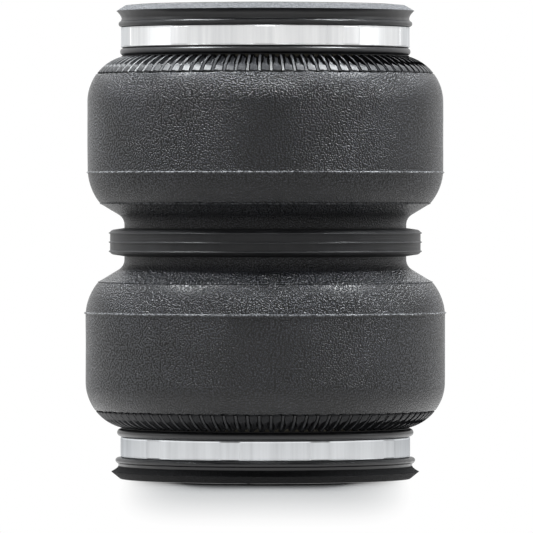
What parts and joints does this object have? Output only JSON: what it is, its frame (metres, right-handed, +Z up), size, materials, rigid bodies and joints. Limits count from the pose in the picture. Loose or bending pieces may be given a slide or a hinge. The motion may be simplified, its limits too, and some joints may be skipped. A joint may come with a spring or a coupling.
{
  "type": "air bellows actuator",
  "caption": "Double-convoluted rubber air bellows crimped on moulded end caps, with a girdle hoop at the waist, a ribbed shoulder at each clamp and a bump stop inside.",
  "frame": {"origin": "centre of the lower cap's mounting face", "axes": "+Z up the bellows axis, towards the end with the air port; +X through the bolts; +Y towards the air port"},
  "size_m": [0.1538, 0.1538, 0.202],
  "materials": {
    "bellows_rubber": "moulded, leather-grained",
    "girdle_rubber": "moulded, smooth",
    "liner_rubber": "smooth",
    "cord_fabric": "calendered cord",
    "crimp_aluminium": "brushed and crimped",
    "cap_nylon": "moulded, glass filled",
    "insert_steel": "zinc plated",
    "port_brass": "turned",
    "hoop_wire": "drawn",
    "bump_urethane": "cast",
    "cup_steel": "pressed, zinc plated",
    "screw_steel": "black oxide"
  },
  "bodies": {
    "lower_end": {"lower_end_cap": "cap_nylon", "lower_cap_inserts": "insert_steel", "lower_sleeve_end": "bellows_rubber", "lower_crimp_band": "crimp_aluminium", "bump_stop": "bump_urethane", "bump_stop_cup": "cup_steel", "bump_stop_screw": "screw_steel"},
    "girdle": {"girdle_hoop": "girdle_rubber", "girdle_wire": "hoop_wire", "upper_convolution": "bellows_rubber", "upper_cord_plies": "cord_fabric", "upper_inner_liner": "liner_rubber", "upper_rib_shoulder": "bellows_rubber", "lower_convolution": "bellows_rubber", "lower_cord_plies": "cord_fabric", "lower_inner_liner": "liner_rubber", "lower_rib_shoulder": "bellows_rubber"},
    "upper_end": {"upper_end_cap": "cap_nylon", "upper_cap_inserts": "insert_steel", "air_port_bush": "port_brass", "upper_sleeve_end": "bellows_rubber", "upper_crimp_band": "crimp_aluminium"}
  },
  "joints": [
    {"name": "lower_fold", "type": "slide", "parent": "lower_end", "child": "girdle", "axis": [0, 0, 1], "range_m": [-0.04, 0.006], "stiffness_N_per_m": 4000, "deforming": ["lower_convolution", "lower_cord_plies", "lower_inner_liner", "lower_rib_shoulder"]},
    {"name": "upper_fold", "type": "slide", "parent": "girdle", "child": "upper_end", "axis": [0, 0, 1], "range_m": [-0.04, 0.006], "stiffness_N_per_m": 4000, "deforming": ["upper_convolution", "upper_cord_plies", "upper_inner_liner", "upper_rib_shoulder"]}
  ],
  "couplings": [
    {"joint": "upper_fold", "follows": "lower_fold", "ratio": 1}
  ]
}
